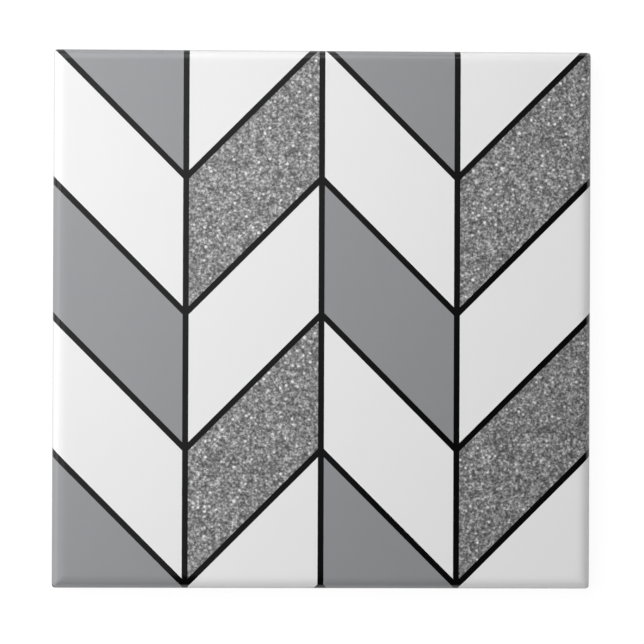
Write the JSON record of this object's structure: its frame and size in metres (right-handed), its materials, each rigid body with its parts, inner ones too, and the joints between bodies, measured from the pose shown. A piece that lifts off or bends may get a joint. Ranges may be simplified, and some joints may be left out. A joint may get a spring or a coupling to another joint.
{
  "type": "chevron wall tile",
  "caption": "Square glazed ceramic wall tile with rolled edges, a keyed back and a flush chevron print in white, grey and glitter grey between black lines.",
  "frame": {"origin": "middle of the back, on a rib crossing, in the plane that the tile lies on", "axes": "+Z out of the glazed face; +Y up on the wall, as in the picture; +X to the right, seen from the front"},
  "size_m": [0.108, 0.108, 0.0064],
  "materials": {
    "printed_glaze": "glossy glaze over a flush print in white, mid grey, speckled grey and black; bare off-white body on the back"
  },
  "bodies": {
    "root": {"tile": "printed_glaze"}
  },
  "joints": []
}
